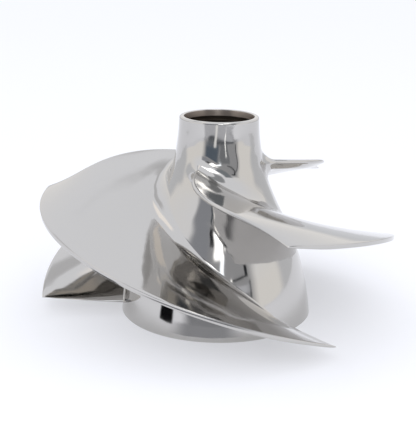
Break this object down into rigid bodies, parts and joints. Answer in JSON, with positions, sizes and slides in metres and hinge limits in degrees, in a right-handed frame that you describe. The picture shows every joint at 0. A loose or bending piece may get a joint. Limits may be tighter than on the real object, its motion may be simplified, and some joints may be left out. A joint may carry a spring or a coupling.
{
  "type": "personal watercraft impeller",
  "caption": "Hollow flared hub with a shaft bore, carrying swept helical blades that overlap round it, cast as one polished piece.",
  "frame": {"origin": "centre of the hub's wide rear face, on the shaft axis", "axes": "+Z along the shaft axis, from the wide rear face towards the small front rim"},
  "size_m": [0.155, 0.1549, 0.0878],
  "materials": {
    "polished_stainless": "mirror-polished cast stainless steel"
  },
  "bodies": {
    "root": {"impeller_casting": "polished_stainless"}
  },
  "joints": []
}
